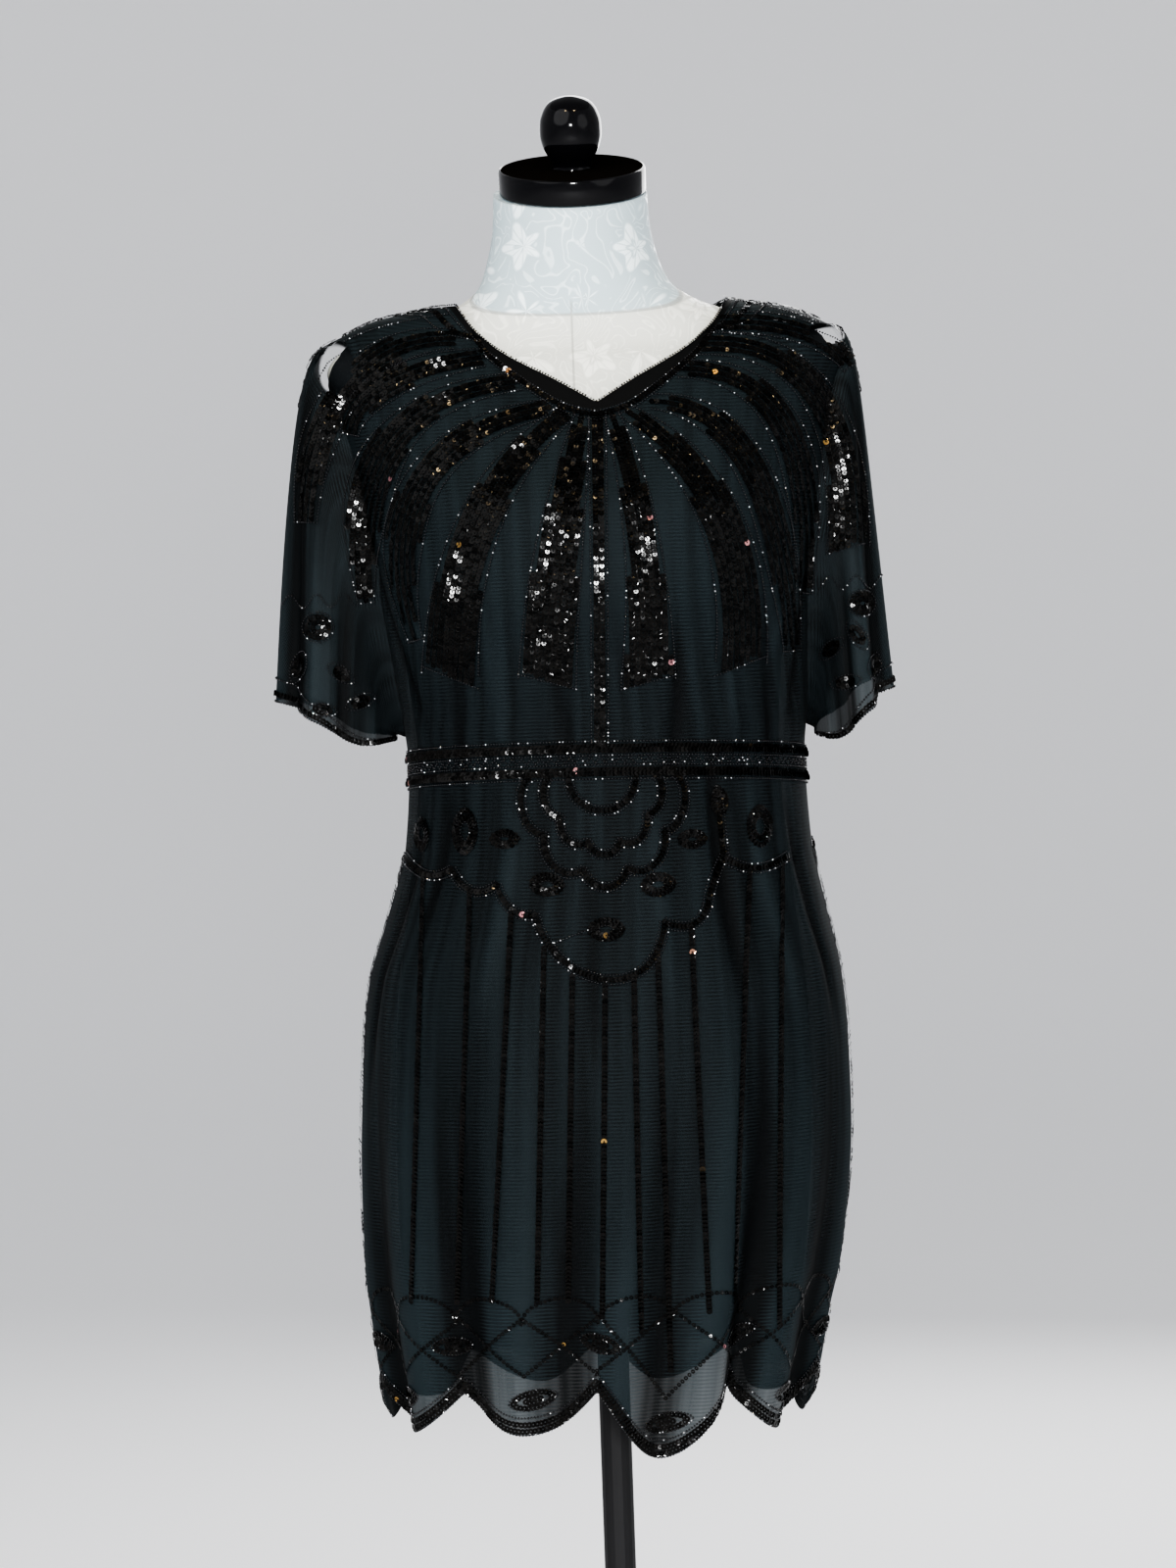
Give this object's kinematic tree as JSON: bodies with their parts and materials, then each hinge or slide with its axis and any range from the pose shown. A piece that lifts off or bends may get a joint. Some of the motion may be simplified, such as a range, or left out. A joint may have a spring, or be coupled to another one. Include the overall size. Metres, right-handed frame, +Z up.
{
  "type": "sequin mini dress on a dress form",
  "caption": "Net mini dress with V neck, short open sleeves and scalloped hem over a tank lining, standing on a limbless dress form with cap, knob, pole and round foot",
  "frame": {"origin": "centre of the stand's flat underside, on the floor", "axes": "+Z up, the dress front faces -Y, +X to the viewer's right"},
  "size_m": [0.4715, 0.33, 1.5435],
  "materials": {
    "net": "sheer black net, embroidered with jet sequins and seed beads",
    "lining": "opaque matt charcoal lining",
    "binding": "folded black bias strip",
    "damask": "cream damask with woven flowers",
    "black_gloss": "black gloss lacquer",
    "black_metal": "black satin paint"
  },
  "bodies": {
    "root": {"dress_front": "net", "dress_back": "net", "sleeve_left": "net", "sleeve_right": "net", "lining_front": "lining", "lining_back": "lining", "neck_binding_front": "binding", "neck_binding_back": "binding", "form_torso": "damask", "form_cap": "black_gloss", "form_knob": "black_gloss", "stand_pole": "black_metal", "stand_base": "black_metal"}
  },
  "joints": []
}
